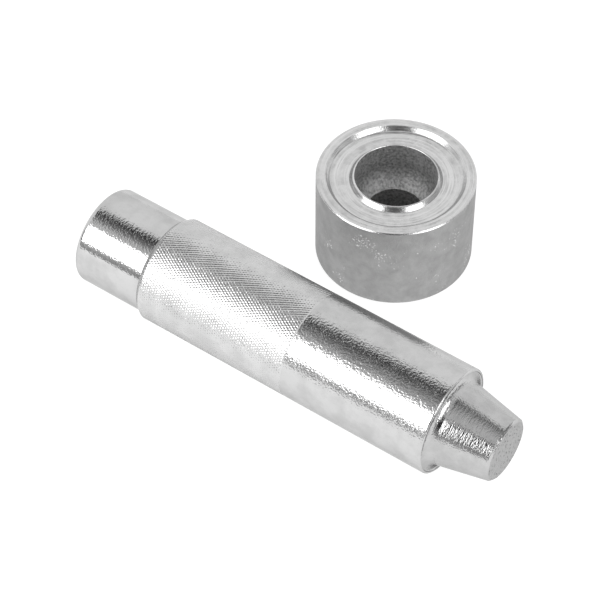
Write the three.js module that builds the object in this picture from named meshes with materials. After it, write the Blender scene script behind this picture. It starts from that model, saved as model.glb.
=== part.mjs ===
// Two-piece eyelet setting tool: a turned steel punch lying on its side and a turned steel anvil ring
// standing on its base. Millimetres, +Z up, the punch's nose toward +X, origin under the middle of the pair.
import * as THREE from 'three';

// driving dimensions, mm
const turnSegments = 72;

const shankDiameter = 20.6;
const shankLength = 62.3;
const shankRearChamfer = 0.55;
const shankRearBevelLength = 0.75;
const shankFrontChamfer = 0.3;

const headDiameter = 18.9;
const headLength = 14.9;
const headEdgeRound = 1.0;

const lipWidth = 0.15;
const curlGrooveDepth = 0.3;
const curlGrooveWidth = 0.5;
const noseFlareLength = 1.6;
const noseRootDiameter = 16.4;
const noseTipDiameter = 12.0;
const noseLength = 11.05;
const noseTipChamfer = 0.37;

const anvilDiameter = 30.0;
const anvilHeight = 19.2;
const anvilTopChamfer = 0.2;
const anvilBaseChamfer = 0.3;
const seatDiameter = 26.2;
const seatDepth = 0.9;
const seatFlankWidth = 0.75;
const collarRootDiameter = 17.5;
const collarTopDiameter = 16.1;
const collarDrop = 0.06;
const cupDiameter = 15.6;
const cupWallDepth = 5.2;
const cupFloorRadius = 5.0;
const clearHoleDiameter = 10.9;
const clearHoleBaseChamfer = 0.4;

// layout on the table, mm
const shoulderX = 33.08;
const punchY = -20.71;
const anvilX = -3.64;
const anvilY = 16.01;

// one ring of the turned outline: distance from the axis, distance along it
const ring = (radius, along) => new THREE.Vector2(radius, along);

// points of an arc in the turning plane, from one angle to another
function arcRings(centreRadius, centreAlong, arcRadius, fromDegrees, toDegrees, steps) {
  const rings = [];
  for (let i = 0; i <= steps; i += 1) {
    const angle = THREE.MathUtils.degToRad(fromDegrees + ((toDegrees - fromDegrees) * i) / steps);
    rings.push(ring(centreRadius + arcRadius * Math.cos(angle), centreAlong + arcRadius * Math.sin(angle)));
  }
  return rings;
}

function noseRadiusAt(along) {
  const rootRadius = noseRootDiameter / 2;
  const tipRadius = noseTipDiameter / 2;
  return rootRadius + ((tipRadius - rootRadius) * along) / noseLength;
}

// punch outline, from the struck end to the nose tip, shoulder at zero
function punchOutline() {
  const shankRadius = shankDiameter / 2;
  const headRadius = headDiameter / 2;
  const struckEnd = -shankLength - headLength;
  const stepAlong = -shankLength;
  const lipOuter = shankRadius - shankFrontChamfer;
  const grooveOuter = lipOuter - lipWidth;
  const grooveMiddle = grooveOuter - curlGrooveWidth / 2;
  const flareEnd = noseRadiusAt(noseFlareLength);
  const rings = [ring(0, struckEnd)];
  rings.push(...arcRings(headRadius - headEdgeRound, struckEnd + headEdgeRound, headEdgeRound, -90, 0, 4));
  rings.push(ring(headRadius, stepAlong));
  rings.push(ring(shankRadius - shankRearChamfer, stepAlong));
  rings.push(ring(shankRadius, stepAlong + shankRearBevelLength));
  rings.push(ring(shankRadius, -shankFrontChamfer));
  rings.push(ring(lipOuter, 0));
  rings.push(ring(grooveOuter, 0));
  rings.push(ring(grooveOuter - curlGrooveWidth * 0.12, -curlGrooveDepth * 0.62));
  rings.push(ring(grooveOuter - curlGrooveWidth * 0.3, -curlGrooveDepth * 0.93));
  rings.push(ring(grooveMiddle, -curlGrooveDepth));
  // the groove's floor runs on into a flare that meets the tapered nose
  const flareSteps = 5;
  for (let i = 1; i <= flareSteps; i += 1) {
    const turn = (Math.PI / 2) * (i / flareSteps);
    const radius = grooveMiddle - (grooveMiddle - flareEnd) * Math.sin(turn);
    const along = -curlGrooveDepth + (curlGrooveDepth + noseFlareLength) * (1 - Math.cos(turn));
    rings.push(ring(radius, along));
  }
  rings.push(ring(noseRadiusAt(noseLength - noseTipChamfer), noseLength - noseTipChamfer));
  rings.push(ring(noseTipDiameter / 2 - noseTipChamfer, noseLength));
  rings.push(ring(0, noseLength));
  return rings;
}

// anvil outline, closed on itself round the through hole, base at zero
function anvilOutline() {
  const outer = anvilDiameter / 2;
  const hole = clearHoleDiameter / 2;
  const seat = seatDiameter / 2;
  const seatFloor = anvilHeight - seatDepth;
  const collarTop = anvilHeight - collarDrop;
  const cupRadius = cupDiameter / 2;
  const cupTurn = anvilHeight - cupWallDepth;
  const floorSweep = THREE.MathUtils.radToDeg(Math.acos(1 - (cupRadius - hole) / cupFloorRadius));
  const rings = [ring(hole + clearHoleBaseChamfer, 0)];
  rings.push(ring(outer - anvilBaseChamfer, 0));
  rings.push(ring(outer, anvilBaseChamfer));
  rings.push(ring(outer, anvilHeight - anvilTopChamfer));
  rings.push(ring(outer - anvilTopChamfer, anvilHeight));
  rings.push(ring(seat, anvilHeight));
  rings.push(ring(seat - seatFlankWidth, seatFloor));
  rings.push(ring(collarRootDiameter / 2, seatFloor));
  rings.push(ring(collarTopDiameter / 2, collarTop));
  rings.push(ring(cupRadius, collarTop));
  // the cup's floor sweeps in from its wall and ends where the through hole cuts it
  rings.push(...arcRings(cupRadius - cupFloorRadius, cupTurn, cupFloorRadius, 0, -floorSweep, 6));
  rings.push(ring(hole, clearHoleBaseChamfer));
  rings.push(ring(hole + clearHoleBaseChamfer, 0));
  return rings;
}

const zincPlatedSteel = () => new THREE.MeshStandardMaterial({
  color: 0xc9cacb,
  roughness: 0.3,
  metalness: 1.0,
});

const turnedSteel = () => new THREE.MeshStandardMaterial({
  color: 0xbfc0c1,
  roughness: 0.38,
  metalness: 1.0,
});

function buildPunch() {
  const geometry = new THREE.LatheGeometry(punchOutline(), turnSegments);
  geometry.rotateZ(-Math.PI / 2);
  geometry.translate(shoulderX, punchY, shankDiameter / 2);
  const punch = new THREE.Mesh(geometry, zincPlatedSteel());
  punch.name = 'punch';
  return punch;
}

function buildAnvil() {
  const geometry = new THREE.LatheGeometry(anvilOutline(), turnSegments);
  geometry.rotateX(Math.PI / 2);
  geometry.translate(anvilX, anvilY, 0);
  const anvil = new THREE.Mesh(geometry, turnedSteel());
  anvil.name = 'anvil';
  return anvil;
}

const group = new THREE.Group();
group.name = 'eyelet_setting_tool';
group.add(buildPunch());
group.add(buildAnvil());

export default group;
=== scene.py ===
import math
import bpy
import numpy as np
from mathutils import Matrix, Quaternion, Vector


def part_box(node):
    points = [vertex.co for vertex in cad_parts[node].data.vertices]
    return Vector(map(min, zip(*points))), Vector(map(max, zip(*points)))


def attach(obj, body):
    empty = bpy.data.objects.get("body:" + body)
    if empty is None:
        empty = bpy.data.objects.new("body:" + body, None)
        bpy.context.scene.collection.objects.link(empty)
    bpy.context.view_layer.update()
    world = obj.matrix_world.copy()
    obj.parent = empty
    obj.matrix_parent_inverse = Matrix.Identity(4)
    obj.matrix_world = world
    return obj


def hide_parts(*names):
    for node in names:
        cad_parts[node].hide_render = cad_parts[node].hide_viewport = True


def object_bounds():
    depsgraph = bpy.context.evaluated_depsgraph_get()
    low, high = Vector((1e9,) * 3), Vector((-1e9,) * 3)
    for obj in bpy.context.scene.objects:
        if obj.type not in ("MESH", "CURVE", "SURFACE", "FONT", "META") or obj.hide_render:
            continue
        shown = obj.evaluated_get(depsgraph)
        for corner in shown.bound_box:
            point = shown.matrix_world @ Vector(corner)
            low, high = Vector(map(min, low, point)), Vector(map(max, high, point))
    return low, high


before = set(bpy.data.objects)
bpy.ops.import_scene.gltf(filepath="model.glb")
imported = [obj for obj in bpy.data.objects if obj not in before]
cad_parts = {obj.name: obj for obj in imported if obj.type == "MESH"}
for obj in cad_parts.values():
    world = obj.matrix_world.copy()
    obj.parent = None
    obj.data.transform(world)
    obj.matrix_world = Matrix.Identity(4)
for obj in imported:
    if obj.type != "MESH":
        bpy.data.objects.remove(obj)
cadLow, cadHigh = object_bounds()
mm = 0.001  # the scene is in metres, and the pieces' own sizes and patterns are in mm


def linearColour(hexColour):
    channels = [int(hexColour[i:i + 2], 16) / 255 for i in (1, 3, 5)]
    linear = [c / 12.92 if c <= 0.04045 else ((c + 0.055) / 1.055) ** 2.4 for c in channels]
    return (*linear, 1.0)


def addNode(tree, kind, settings=None, links=None):
    # a key that names or numbers a socket sets that socket, and any other key sets the node itself
    node = tree.nodes.new(kind)
    for key, value in (settings or {}).items():
        if isinstance(key, int) or (key in node.inputs and not hasattr(node, key)):
            node.inputs[key].default_value = value
        else:
            setattr(node, key, value)
    for key, source in (links or {}).items():
        tree.links.new(source, node.inputs[key])
    return node


def wayTo(azimuth, elevation):
    # unit vector, from degrees: azimuth 0 is the front (-Y), and it turns toward +X
    a, e = math.radians(azimuth), math.radians(elevation)
    return Vector((math.sin(a) * math.cos(e), -math.cos(a) * math.cos(e), math.sin(e)))


# camera: it looks down at a spot on the table, a little off the middle of the pair
cameraSet = {
    "azimuth": 35.53, "elevation": 49.0, "roll": -0.18,  # degrees
    "distance": 0.44707, "aim": (-0.01013, -0.00581, 0.0),  # metres
    "sensorWidth": 36, "lens": 142.602,  # mm
    "clipStart": 0.01, "clipEnd": 20,  # metres
}


def makeCamera(s):
    camera = bpy.data.objects.new("camera", bpy.data.cameras.new("camera"))
    bpy.context.scene.collection.objects.link(camera)
    back = wayTo(s["azimuth"], s["elevation"])
    camera.location = Vector(s["aim"]) + back * s["distance"]
    camera.rotation_mode = "QUATERNION"
    level = (-back).to_track_quat("-Z", "Y")
    camera.rotation_quaternion = level @ Quaternion((0, 0, 1), math.radians(s["roll"]))
    camera.data.sensor_width = s["sensorWidth"]
    camera.data.lens = s["lens"]
    camera.data.clip_start = s["clipStart"]
    camera.data.clip_end = s["clipEnd"]
    bpy.context.scene.camera = camera


# two soft boxes in front; azimuth is counted from the camera to the right
boxSet = {
    "distance": 0.9,  # metres
    # angles in degrees, glow in W/sr/m2
    "boxes": {
        "leftBox": {"azimuth": -56.5, "elevation": 31.2, "wide": 40, "tall": 32.6, "glow": 3.0},
        "rightBox": {"azimuth": 44, "elevation": 31, "wide": 31, "tall": 30, "glow": 3.0},
    },
}


def makeBoxes(s, cameraAzimuth):
    # the way to each box is handed on, because the room glows a little round it
    ways = {}
    for name, b in s["boxes"].items():
        ways[name] = wayTo(cameraAzimuth + b["azimuth"], b["elevation"])
        lamp = bpy.data.lights.new(name, "AREA")
        lamp.shape = "RECTANGLE"
        lamp.size = 2 * s["distance"] * math.tan(math.radians(b["wide"] / 2))
        lamp.size_y = 2 * s["distance"] * math.tan(math.radians(b["tall"] / 2))
        lamp.energy = b["glow"] * math.pi * lamp.size * lamp.size_y
        box = bpy.data.objects.new(name, lamp)
        bpy.context.scene.collection.objects.link(box)
        box.location = ways[name] * s["distance"]
        box.rotation_mode = "QUATERNION"
        box.rotation_quaternion = (-ways[name]).to_track_quat("-Z", "Y")
    return ways


# the room that the metal mirrors: light grey behind, dark toward the camera and overhead. Greys are radiance.
# A sight line's reach is how far it goes one way for each metre of its length: up, ahead (toward the
# camera), toward a crown a little off the zenith, or over (toward the camera and somewhat to its right)
roomSet = {
    "backGrey": 0.95,
    # each step: the reach it reads, where it starts and ends, and its value before and after
    "steps": {
        "besideGrey": ("up", 0.24, 0.42, 0.25, 0.95),
        "besideShare": ("ahead", -0.45, -0.15, 0.0, 1.0),
        "frontGrey": ("up", 0.2, 0.4, 0.38, 0.04),
        "frontShare": ("ahead", -0.1, 0.45, 0.0, 1.0),
        "topShare": ("crown", 0.815, 0.89, 0.0, 1.0),
    },
    "crownAhead": 0.1, "crownRight": -0.05,
    # overhead the grey rises evenly between two reaches
    "overRight": 0.25, "overFrom": -0.34, "overTo": 0.26, "overDark": 0.03, "overLight": 0.75,
    # light spilt round each box, between two reaches toward its middle
    "spill": 0.3, "spillEnds": 0.88, "spillFull": 0.96,
}


def makeRoom(s, boxWays, cameraAzimuth):
    bpy.context.scene.view_settings.view_transform = "Standard"
    world = bpy.data.worlds.new("studioRoom")
    bpy.context.scene.world = world
    world.use_nodes = True
    tree = world.node_tree
    tree.nodes.clear()
    up, toCamera, toRight = wayTo(0, 90), wayTo(cameraAzimuth, 0), wayTo(cameraAzimuth + 90, 0)
    ways = {
        "up": up,
        "ahead": toCamera,
        "crown": up + toCamera * s["crownAhead"] + toRight * s["crownRight"],
        "over": toCamera + toRight * s["overRight"],
        **boxWays,
    }
    sight = addNode(tree, "ShaderNodeTexCoord").outputs["Generated"]
    reach, step = {}, {}
    for name, way in ways.items():
        dot = addNode(tree, "ShaderNodeVectorMath", {"operation": "DOT_PRODUCT", 1: way}, {0: sight})
        reach[name] = dot.outputs["Value"]
    for name, (way, starts, ends, before, after) in s["steps"].items():
        smooth = addNode(tree, "ShaderNodeMapRange", {"interpolation_type": "SMOOTHSTEP", "From Min": starts,
                         "From Max": ends, "To Min": before, "To Max": after}, {"Value": reach[way]})
        step[name] = smooth.outputs["Result"]
    beside = addNode(tree, "ShaderNodeMix", {"data_type": "FLOAT", 2: s["backGrey"]},
                     {0: step["besideShare"], 3: step["besideGrey"]})
    walls = addNode(tree, "ShaderNodeMix", {"data_type": "FLOAT"},
                    {0: step["frontShare"], 2: beside.outputs[0], 3: step["frontGrey"]})
    over = addNode(tree, "ShaderNodeMapRange", {"From Min": s["overFrom"], "From Max": s["overTo"],
                   "To Min": s["overDark"], "To Max": s["overLight"]}, {"Value": reach["over"]})
    grey = addNode(tree, "ShaderNodeMix", {"data_type": "FLOAT"},
                   {0: step["topShare"], 2: walls.outputs[0], 3: over.outputs["Result"]}).outputs[0]
    for name in boxWays:
        spill = addNode(tree, "ShaderNodeMapRange", {"interpolation_type": "SMOOTHSTEP",
                        "From Min": s["spillEnds"], "From Max": s["spillFull"], "To Max": s["spill"]},
                        {"Value": reach[name]})
        total = addNode(tree, "ShaderNodeMath", {"operation": "ADD"}, {0: grey, 1: spill.outputs["Result"]})
        grey = total.outputs[0]
    # seen straight on, past the edge of the floor, the room is plain white
    straight = addNode(tree, "ShaderNodeLightPath").outputs["Is Camera Ray"]
    shown = addNode(tree, "ShaderNodeMix", {"data_type": "FLOAT", 3: 1.0}, {0: straight, 2: grey})
    glow = addNode(tree, "ShaderNodeBackground", links={"Color": shown.outputs[0]})
    addNode(tree, "ShaderNodeOutputWorld", links={"Surface": glow.outputs["Background"]})


# floor: white paper with a glow of its own, which keeps it evenly pale
floorSet = {
    "side": 6.0,  # metres
    "colour": "#a0a0a0", "roughness": 0.9, "specular": 0.1, "glow": 0.84,
    "shadeStarts": 0.3, "shadeFull": 1.0,  # mm in from the anvil's edge
}


def makeFloor(s):
    half = s["side"] / 2
    mesh = bpy.data.meshes.new("studioFloor")
    corners = [(-half, -half, 0), (half, -half, 0), (half, half, 0), (-half, half, 0)]
    mesh.from_pydata(corners, [], [(0, 1, 2, 3)])
    floor = bpy.data.objects.new("studioFloor", mesh)
    bpy.context.scene.collection.objects.link(floor)
    floor.location.z = cadLow.z
    paper = bpy.data.materials.new("whitePaper")
    paper.use_nodes = True
    tree = paper.node_tree
    shader = tree.nodes["Principled BSDF"]
    shader.inputs["Base Color"].default_value = linearColour(s["colour"])
    shader.inputs["Roughness"].default_value = s["roughness"]
    shader.inputs["Specular IOR Level"].default_value = s["specular"]
    shader.inputs["Emission Color"].default_value = (1, 1, 1, 1)
    # no light gets in under the anvil, so the paper is left dark there
    low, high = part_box("anvil")
    middle = ((low.x + high.x) / 2, (low.y + high.y) / 2, cadLow.z)
    radius = (high.x - low.x) / 2
    place = addNode(tree, "ShaderNodeNewGeometry").outputs["Position"]
    far = addNode(tree, "ShaderNodeVectorMath", {"operation": "DISTANCE", 1: middle}, {0: place})
    lit = addNode(tree, "ShaderNodeMapRange", {"From Min": radius - s["shadeFull"] * mm,
                  "From Max": radius - s["shadeStarts"] * mm, "To Max": s["glow"]},
                  {"Value": far.outputs["Value"]})
    tree.links.new(lit.outputs["Result"], shader.inputs["Emission Strength"])
    mesh.materials.append(paper)


# plating: every surface is mild steel under a thin coat of zinc, and these values are the same for all
# its grain is too fine to show, so it is drawn 0.2 to 0.4 mm wide, as coarse as it needs to be
platingSet = {
    "edgeTint": "#d6d6d6",
    "grainRoughness": 0.6, "ringRoughness": 0.65,
    "ringRadius": 10,  # mm from the axis, where a ring mark's run is measured
    "ringToneFrom": 0.4, "ringToneTo": 0.65,
    "patchSize": 5,  # mm, the patches that flecks gather in
}


def ringPlace(tree, place, around, pitch, run):
    # long cells that follow the tool round the piece: pitch across the marks, run along them, in mm
    across, along = 1 / pitch / mm, 1 / run / mm
    if around == "X":
        return addNode(tree, "ShaderNodeVectorMath", {"operation": "MULTIPLY", 1: (across, along, along)},
                       {0: place}).outputs[0]
    flat = addNode(tree, "ShaderNodeVectorMath", {"operation": "MULTIPLY", 1: (1, 1, 0)}, {0: place})
    radius = addNode(tree, "ShaderNodeVectorMath", {"operation": "LENGTH"}, {0: flat.outputs[0]})
    toward = addNode(tree, "ShaderNodeVectorMath", {"operation": "NORMALIZE"}, {0: flat.outputs[0]})
    spread = addNode(tree, "ShaderNodeVectorMath", {"operation": "SCALE",
                     "Scale": platingSet["ringRadius"] / run}, {0: toward.outputs[0]})
    count = addNode(tree, "ShaderNodeMath", {"operation": "MULTIPLY", 1: across},
                    {0: radius.outputs["Value"]})
    lift = addNode(tree, "ShaderNodeCombineXYZ", links={"Z": count.outputs[0]})
    return addNode(tree, "ShaderNodeVectorMath", {"operation": "ADD"},
                   {0: spread.outputs[0], 1: lift.outputs[0]}).outputs[0]


def addRelief(tree, place, s):
    # a relief is (cell size, height, detail) and a ring set is (pitch, run, height, detail), sizes in mm
    layers = []
    for size, height, detail in s["reliefs"]:
        grain = addNode(tree, "ShaderNodeTexNoise", {"Scale": 1 / (size * mm), "Detail": detail,
                        "Roughness": platingSet["grainRoughness"]}, {"Vector": place})
        layers.append((height, grain.outputs["Fac"]))
    for pitch, run, height, detail in s.get("rings", []):
        cells = ringPlace(tree, place, s["around"], pitch, run)
        marks = addNode(tree, "ShaderNodeTexNoise", {"Scale": 1.0, "Detail": detail,
                        "Roughness": platingSet["ringRoughness"]}, {"Vector": cells})
        layers.append((height, marks.outputs["Fac"]))
    normal = None
    for height, noise in layers:
        links = {"Height": noise}
        if normal:
            links["Normal"] = normal
        bump = addNode(tree, "ShaderNodeBump", {"Strength": 1.0, "Distance": height * mm}, links)
        normal = bump.outputs["Normal"]
    return normal, noise


def addFlecks(tree, place, size, shift):
    # small spots that gather in patches; the shift slides their pattern along the piece
    spot = addNode(tree, "ShaderNodeVectorMath", {"operation": "ADD", 1: shift}, {0: place}).outputs[0]
    fleck = addNode(tree, "ShaderNodeTexNoise", {"Scale": 1 / (size * mm), "Detail": 1.0}, {"Vector": spot})
    patch = addNode(tree, "ShaderNodeTexNoise", {"Scale": 1 / (platingSet["patchSize"] * mm), "Detail": 1.0},
                    {"Vector": spot})
    return addNode(tree, "ShaderNodeMath", {"operation": "MULTIPLY"}, {0: fleck.outputs["Fac"],
                   1: patch.outputs["Fac"]}).outputs[0]


def addColour(tree, place, s, lastRelief):
    # clouds are (size in mm, low, high, detail), flecks are (size in mm, low, high)
    size, low, high, detail = s["clouds"]
    cloud = addNode(tree, "ShaderNodeTexNoise", {"Scale": 1 / (size * mm), "Detail": detail,
                    "Roughness": platingSet["grainRoughness"]}, {"Vector": place})
    # each layer of colour shows where its pattern runs from low to high
    layers = [(s["stain"], cloud.outputs["Fac"], low, high)]
    if "flecks" in s:
        size, low, high = s["flecks"]
        layers.append((s["fleckColour"], addFlecks(tree, place, size, s["fleckShift"]), low, high))
    if "ringTone" in s:
        layers.append((s["ringTone"], lastRelief, platingSet["ringToneFrom"], platingSet["ringToneTo"]))
    colour = None
    for layerColour, pattern, low, high in layers:
        amount = addNode(tree, "ShaderNodeMapRange", {"From Min": low, "From Max": high}, {"Value": pattern})
        links = {0: amount.outputs["Result"]}
        if colour:
            links[6] = colour
        colour = addNode(tree, "ShaderNodeMix", {"data_type": "RGBA", 6: linearColour(s["colour"]),
                         7: linearColour(layerColour)}, links).outputs[2]
    return colour


def platedSteel(name, s):
    material = bpy.data.materials.new(name)
    material.use_nodes = True
    tree = material.node_tree
    shader = tree.nodes["Principled BSDF"]
    shader.inputs["Metallic"].default_value = 1.0
    shader.inputs["Roughness"].default_value = s["roughness"]
    shader.inputs["Specular Tint"].default_value = linearColour(platingSet["edgeTint"])
    place = addNode(tree, "ShaderNodeTexCoord").outputs["Object"]
    normal, lastRelief = addRelief(tree, place, s)
    tree.links.new(normal, shader.inputs["Normal"])
    tree.links.new(addColour(tree, place, s, lastRelief), shader.inputs["Base Color"])
    return material


# rows of a turned outline, each (distance along the axis, radius) in mm; a stretch leaves its end to the next
def cornerRows(corners, steps):
    # straight from corner to corner, with a number of steps for each stretch
    return [(start[0] + (end[0] - start[0]) * i / count, start[1] + (end[1] - start[1]) * i / count)
            for start, end, count in zip(corners, corners[1:], steps) for i in range(count)]


def straightRows(start, end, steps, endFace=0.12):
    # a short face at each end keeps the shading straight right up to the next bend
    short = endFace / math.dist(start, end)
    shares = [0] + [short + (1 - 2 * short) * i / steps for i in range(steps + 1)]
    return [(start[0] + (end[0] - start[0]) * share, start[1] + (end[1] - start[1]) * share)
            for share in shares]


def arcRows(centre, reach, fromDegrees, toDegrees, steps):
    # reach is along the axis and away from it; 0 degrees points away from the axis, 90 degrees along it
    rows = []
    for i in range(steps):
        angle = math.radians(fromDegrees + (toDegrees - fromDegrees) * i / steps)
        rows.append((centre[0] + reach[0] * math.sin(angle), centre[1] + reach[1] * math.cos(angle)))
    return rows


def turnedMesh(name, bands, columns, closed, alongX, depths=0):
    # a band is (rows, material number), and depths are what is rolled into the surface, in mm
    # a closed outline joins its last row to its first, and an open one gets a flat cap at each end
    along = np.array([a for rows, number in bands for a, r in rows])
    radius = np.array([r for rows, number in bands for a, r in rows])
    numbers = [number for rows, number in bands for row in rows]
    turn = np.arange(columns) * 2 * math.pi / columns
    alongGrid, turnGrid = np.meshgrid(along, turn, indexing="ij")
    radiusGrid = np.repeat(radius[:, None], columns, 1) - depths
    across, upward = radiusGrid * np.cos(turnGrid), radiusGrid * np.sin(turnGrid)
    layers = (alongGrid, across, upward) if alongX else (across, upward, alongGrid)
    points = (np.stack(layers, -1).reshape(-1, 3) * mm).tolist()
    faces, faceNumbers = [], []
    rowCount = len(along)
    for i in range(rowCount if closed else rowCount - 1):
        below, above = i * columns, ((i + 1) % rowCount) * columns
        for k in range(columns):
            n = (k + 1) % columns
            faces.append((below + k, below + n, above + n, above + k))
            faceNumbers.append(numbers[i])
    if not closed:
        faces.append(tuple(reversed(range(columns))))
        faceNumbers.append(numbers[0])
        faces.append(tuple(range((rowCount - 1) * columns, rowCount * columns)))
        faceNumbers.append(numbers[-1])
    mesh = bpy.data.meshes.new(name)
    mesh.from_pydata(points, [], faces)
    mesh.polygons.foreach_set("material_index", faceNumbers)
    mesh.validate()
    return mesh


def finishPiece(name, mesh, place, finishes, body, node, sharpAngle):
    for finishName, finish in finishes.items():
        mesh.materials.append(platedSteel(finishName, finish))
    mesh.polygons.foreach_set("use_smooth", [True] * len(mesh.polygons))
    mesh.set_sharp_from_angle(angle=math.radians(sharpAngle))
    mesh.update()
    piece = bpy.data.objects.new(name, mesh)
    bpy.context.scene.collection.objects.link(piece)
    piece.location = place
    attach(piece, body)
    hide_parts(node)


# punch, in mm and degrees; distances along the axis are counted from the shoulder, toward the nose
punchSet = {
    "shankLength": 62.3, "rearChamfer": 0.55, "rearSlope": 0.75, "frontRound": 0.3,
    "headLength": 14.9, "headRadius": 9.45, "headRound": 1.0, "footDepth": 0.04, "footWidth": 0.08,
    "lipWidth": 0.15, "grooveWidth": 0.5, "grooveDepth": 0.3, "flareLength": 1.6,
    "noseRootRadius": 8.2, "noseTipRadius": 6.0, "tipChamfer": 0.37, "capRadius": 1.0,
    # 60 grooves each way at 28.8 degrees to the axis lie 0.945 mm apart, which is a 0.3 module knurl
    "knurlLength": 31.9, "knurlStarts": 60, "knurlAngle": 28.8, "perPitch": 12,
    # each set of the knurl's grooves: which way it winds, its depth, and its depth where it tracked again
    "knurlSets": [(1, 0.012, 0.058), (-1, 0.008, 0.042)],
    "capSteps": 6, "roundSteps": 8, "headSteps": 6, "edgeSteps": 2, "bevelSteps": 4, "plainSteps": 12,
    "grooveSteps": 8, "flareSteps": 12, "noseSteps": 8, "sharpAngle": 30,
}

punchFinishes = {
    # drawn bar, zinc plated: bright, with a fine grain
    "zincPlatedDrawnHead": {
        "colour": "#cecece", "roughness": 0.07, "reliefs": [(0.38, 0.025, 1.0)],
        "stain": "#c2c2c2", "clouds": (4.0, 0.4, 0.65, 3.0)},
    # knurl rolled into the bar, zinc plated: a little duller, so its slopes share out the light
    "zincPlatedRolledKnurl": {
        "colour": "#d6d6d6", "roughness": 0.2, "reliefs": [(0.3, 0.035, 1.0)],
        "stain": "#cacaca", "clouds": (4.0, 0.4, 0.65, 3.0)},
    # the same bar left as drawn: an orange peel breaks each reflection's edge into squiggles
    "zincPlatedDrawnShank": {
        "colour": "#cecece", "roughness": 0.11, "reliefs": [(0.42, 0.055, 1.0), (0.2, 0.015, 1.0)],
        "stain": "#c2c2c2", "clouds": (4.0, 0.4, 0.65, 3.0)},
    # turned on a lathe, zinc plated: fine tool marks draw each highlight out along the axis
    "zincPlatedTurnedNose": {
        "colour": "#c2c2c2", "roughness": 0.13, "around": "X", "reliefs": [(0.28, 0.035, 1.0)],
        "rings": [(0.2, 1.3, 0.045, 1.0), (0.5, 8.0, 0.015, 1.0)],
        "stain": "#b6b6b6", "clouds": (3.0, 0.4, 0.65, 3.0)},
    # sawn end, zinc plated: dull, with shallow pits
    "zincPlatedSawnTip": {
        "colour": "#b8b8b8", "roughness": 0.3, "reliefs": [(0.7, 0.25, 1.0), (0.3, 0.06, 1.0)],
        "stain": "#5e5e5e", "clouds": (0.5, 0.6, 0.68, 1.0)},
}


def knurlDepths(s, columns, rowCount, firstRow, knurlRows):
    # depth of every point below the turned surface, in mm, which is nothing outside the knurl
    row = np.arange(rowCount)[:, None] - firstRow
    column = np.arange(columns)[None, :]
    depth = 0
    for way, groove, retrack in s["knurlSets"]:
        # the wheels tracked twice, so a second set of grooves lies half a pitch on
        phase = 2 * math.pi * (column + way * row) / s["perPitch"]
        depth = depth + groove * (1 - np.cos(phase)) / 2 + retrack * (1 - np.cos(2 * phase)) / 2
    return np.where((row > 0) & (row < knurlRows), depth, 0)


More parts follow.
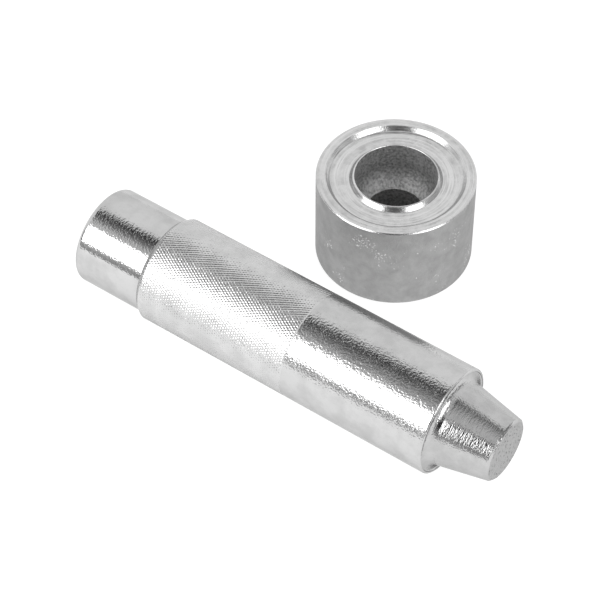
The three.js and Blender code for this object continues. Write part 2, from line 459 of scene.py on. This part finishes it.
def makePunch(s, finishes):
    low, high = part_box("punch")
    shank = (high.z - low.z) / 2 / mm
    struckEnd, step = -s["shankLength"] - s["headLength"], -s["shankLength"]
    noseLength = (high.x - low.x) / mm - s["shankLength"] - s["headLength"]

    head, headRound, cap = s["headRadius"], s["headRound"], s["capRadius"]
    footFrom, bevelFoot = step - s["footWidth"], shank - s["rearChamfer"]
    headRows = cornerRows([(struckEnd, cap), (struckEnd, head - headRound)], [s["capSteps"]])
    headRows += arcRows((struckEnd + headRound, head - headRound), (headRound, headRound), -90, 0,
                        s["roundSteps"])
    headRows += straightRows((struckEnd + headRound, head), (footFrom, head), s["headSteps"])
    headRows += cornerRows([(footFrom, head), (step, head - s["footDepth"]), (step, bevelFoot)],
                           [s["edgeSteps"], s["edgeSteps"]])

    # the knurl's rows are spaced so that both sets of grooves run through its points
    columns = s["knurlStarts"] * s["perPitch"]
    pitchRound = 2 * math.pi * shank / s["knurlStarts"]
    pitchAlong = pitchRound / math.tan(math.radians(s["knurlAngle"]))
    knurlFrom = step + s["rearSlope"]
    knurlRows = round(s["knurlLength"] / (pitchAlong / s["perPitch"]))
    knurlTo = knurlFrom + knurlRows * (pitchAlong / s["perPitch"])
    bevelRows = cornerRows([(step, bevelFoot), (knurlFrom, shank)], [s["bevelSteps"]])
    gripRows = cornerRows([(knurlFrom, shank), (knurlTo, shank)], [knurlRows])

    frontRound = s["frontRound"]
    lipOuter = shank - frontRound
    grooveOuter = lipOuter - s["lipWidth"]
    plainRows = straightRows((knurlTo, shank), (-frontRound, shank), s["plainSteps"])
    plainRows += arcRows((-frontRound, lipOuter), (frontRound, frontRound), 0, 90, s["roundSteps"])
    plainRows += cornerRows([(0, lipOuter), (0, grooveOuter)], [1])

    # the groove's floor runs on into a flare that meets the tapered nose
    taper = (s["noseTipRadius"] - s["noseRootRadius"]) / noseLength
    grooveMiddle, grooveDepth = grooveOuter - s["grooveWidth"] / 2, s["grooveDepth"]
    flareTo, flareRadius = s["flareLength"], s["noseRootRadius"] + taper * s["flareLength"]
    grooveRows = arcRows((0, grooveMiddle), (-grooveDepth, grooveOuter - grooveMiddle), 0, 90,
                         s["grooveSteps"])
    grooveRows += arcRows((flareTo, grooveMiddle), (grooveDepth + flareTo, flareRadius - grooveMiddle),
                          -90, 0, s["flareSteps"])

    tipFrom, tipRadius = noseLength - s["tipChamfer"], s["noseTipRadius"] - s["tipChamfer"]
    tipEdge = s["noseRootRadius"] + taper * tipFrom
    noseRows = straightRows((flareTo, flareRadius), (tipFrom, tipEdge), s["noseSteps"])
    noseRows += cornerRows([(tipFrom, tipEdge), (noseLength, tipRadius)], [s["edgeSteps"]])
    tipRows = cornerRows([(noseLength, tipRadius), (noseLength, cap)], [s["capSteps"]])

    bands = [(headRows, 0), (bevelRows, 0), (gripRows, 1), (plainRows, 2), (grooveRows, 3), (noseRows, 3),
             (tipRows, 4)]
    rowCount = sum(len(rows) for rows, number in bands)
    depths = knurlDepths(s, columns, rowCount, len(headRows) + len(bevelRows), knurlRows)
    mesh = turnedMesh("punchTurned", bands, columns, False, True, depths)
    place = Vector((high.x - noseLength * mm, (low.y + high.y) / 2, (low.z + high.z) / 2))
    finishPiece("punchTurned", mesh, place, finishes, "punch", "punch", s["sharpAngle"])


# anvil, in mm and degrees; distances along the axis are counted up from the base
anvilSet = {
    "columns": 480,
    "topChamfer": 0.2, "baseChamfer": 0.3,
    "seatRadius": 13.1, "seatDepth": 0.9, "seatFlank": 0.75, "seatRound": 0.1, "seatRunOut": 0.2,
    "collarRootRadius": 8.75, "collarTopRadius": 8.05, "collarDrop": 0.06, "lipRound": 0.06, "lipLean": 0.048,
    "cupRadius": 7.8, "cupWall": 5.2, "cupFloor": 5.0,
    "holeRadius": 5.45, "holeChamfer": 0.4,
    "baseSteps": [6, 2], "sideSteps": 8, "rimSteps": [3, 6], "seatSteps": [8, 2, 16],
    "collarSteps": [5, 2, 2, 2], "wallSteps": [10], "floorSteps": 14, "holeSteps": [8, 2], "sharpAngle": 30,
}

anvilFinishes = {
    # turned and barrel plated: satin, mottled, with small bright flecks
    "satinZincTurnedSide": {
        "colour": "#acacac", "roughness": 0.4, "reliefs": [(0.25, 0.1, 2.0)],
        "stain": "#9c9c9c", "clouds": (2.5, 0.35, 0.65, 5.0),
        "flecks": (0.35, 0.42, 0.46), "fleckShift": (0, 0, -12 * mm), "fleckColour": "#e6e6e6"},
    # faced on a lathe, zinc plated: bright, with rings round the axis
    "zincPlatedFacedSeat": {
        "colour": "#d2d2d2", "roughness": 0.25, "around": "Z", "reliefs": [(0.3, 0.02, 1.0)],
        "rings": [(0.5, 14.0, 0.08, 2.0)], "ringTone": "#dedede",
        "stain": "#bababa", "clouds": (2.0, 0.4, 0.65, 4.0)},
    # drilled, thinly plated: dull and pitted
    "zincPlatedBoredCup": {
        "colour": "#d2d2d2", "roughness": 0.6, "reliefs": [(0.4, 0.12, 2.0)],
        "stain": "#a0a0a0", "clouds": (0.5, 0.4, 0.65, 2.0)},
}


def makeAnvil(s, finishes):
    low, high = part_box("anvil")
    outer = (high.x - low.x) / 2 / mm
    tall = (high.z - low.z) / mm

    hole, holeChamfer = s["holeRadius"], s["holeChamfer"]
    baseChamfer, topChamfer, seat = s["baseChamfer"], s["topChamfer"], s["seatRadius"]
    baseRows = cornerRows([(0, hole + holeChamfer), (0, outer - baseChamfer), (baseChamfer, outer)],
                          s["baseSteps"])
    sideRows = straightRows((baseChamfer, outer), (tall - topChamfer, outer), s["sideSteps"])
    rimRows = cornerRows([(tall - topChamfer, outer), (tall, outer - topChamfer), (tall, seat)],
                         s["rimSteps"])

    seatFloor, flankFoot, collarRoot = tall - s["seatDepth"], seat - s["seatFlank"], s["collarRootRadius"]
    seatRows = cornerRows([(tall, seat), (seatFloor + s["seatRound"], flankFoot),
                           (seatFloor, flankFoot - s["seatRunOut"]), (seatFloor, collarRoot)], s["seatSteps"])

    collar, cup, lip = s["collarTopRadius"], s["cupRadius"], s["lipRound"]
    collarTop = tall - s["collarDrop"]
    collarRows = cornerRows([(seatFloor, collarRoot), (collarTop - lip, collar + s["lipLean"]),
                             (collarTop, collar - lip), (collarTop, cup + lip), (collarTop - lip, cup)],
                            s["collarSteps"])

    # the cup's floor sweeps in from its wall and ends where the through hole cuts it
    cupTurn, cupFloor = tall - s["cupWall"], s["cupFloor"]
    sweep = math.degrees(math.acos(1 - (cup - hole) / cupFloor))
    floorEdge = cupTurn - cupFloor * math.sin(math.radians(sweep))
    cupRows = cornerRows([(collarTop - lip, cup), (cupTurn, cup)], s["wallSteps"])
    cupRows += arcRows((cupTurn, cup - cupFloor), (cupFloor, cupFloor), 0, -sweep, s["floorSteps"])
    holeRows = cornerRows([(floorEdge, hole), (holeChamfer, hole), (0, hole + holeChamfer)], s["holeSteps"])

    bands = [(baseRows, 0), (sideRows, 0), (rimRows, 1), (seatRows, 1), (collarRows, 1), (cupRows, 2),
             (holeRows, 2)]
    mesh = turnedMesh("anvilTurned", bands, s["columns"], True, False)
    place = Vector(((low.x + high.x) / 2, (low.y + high.y) / 2, low.z))
    finishPiece("anvilTurned", mesh, place, finishes, "anvil", "anvil", s["sharpAngle"])


makeCamera(cameraSet)
boxWays = makeBoxes(boxSet, cameraSet["azimuth"])
makeRoom(roomSet, boxWays, cameraSet["azimuth"])
makeFloor(floorSet)
print("studio ready")
makePunch(punchSet, punchFinishes)
print("punch ready")
makeAnvil(anvilSet, anvilFinishes)
print("anvil ready")
